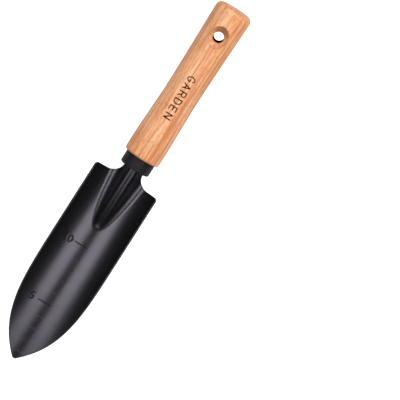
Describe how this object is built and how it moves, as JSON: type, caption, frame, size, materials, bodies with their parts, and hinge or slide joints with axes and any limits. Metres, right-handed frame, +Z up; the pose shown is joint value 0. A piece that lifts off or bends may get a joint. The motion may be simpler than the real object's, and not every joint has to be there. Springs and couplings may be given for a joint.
{
  "type": "hand transplanter",
  "caption": "Narrow hand transplanter: dished pointed steel blade with a depth scale and a stiffening rib, moulded ferrule, turned beech handle with a hanging hole",
  "frame": {"origin": "middle of the footprint, on the surface that the tool lies on, scoop upwards", "axes": "+X from the handle to the blade's tip, +Z up out of the scoop, XZ is the plane of symmetry"},
  "size_m": [0.3028, 0.0532, 0.0483],
  "materials": {
    "powder_coat": "satin black powder coat, slightly purple, on pressed carbon steel",
    "weld": "rippled weld bead under the same powder coat",
    "ferrule": "satin black moulded nylon",
    "adhesive": "cured amber epoxy, out of sight in the handle's bore",
    "beech": "turned beech with a thin satin varnish"
  },
  "bodies": {
    "root": {"blade": "powder_coat", "tang": "powder_coat", "weld_left": "weld", "weld_right": "weld", "ferrule": "ferrule", "tang_adhesive": "adhesive", "handle": "beech"}
  },
  "joints": []
}
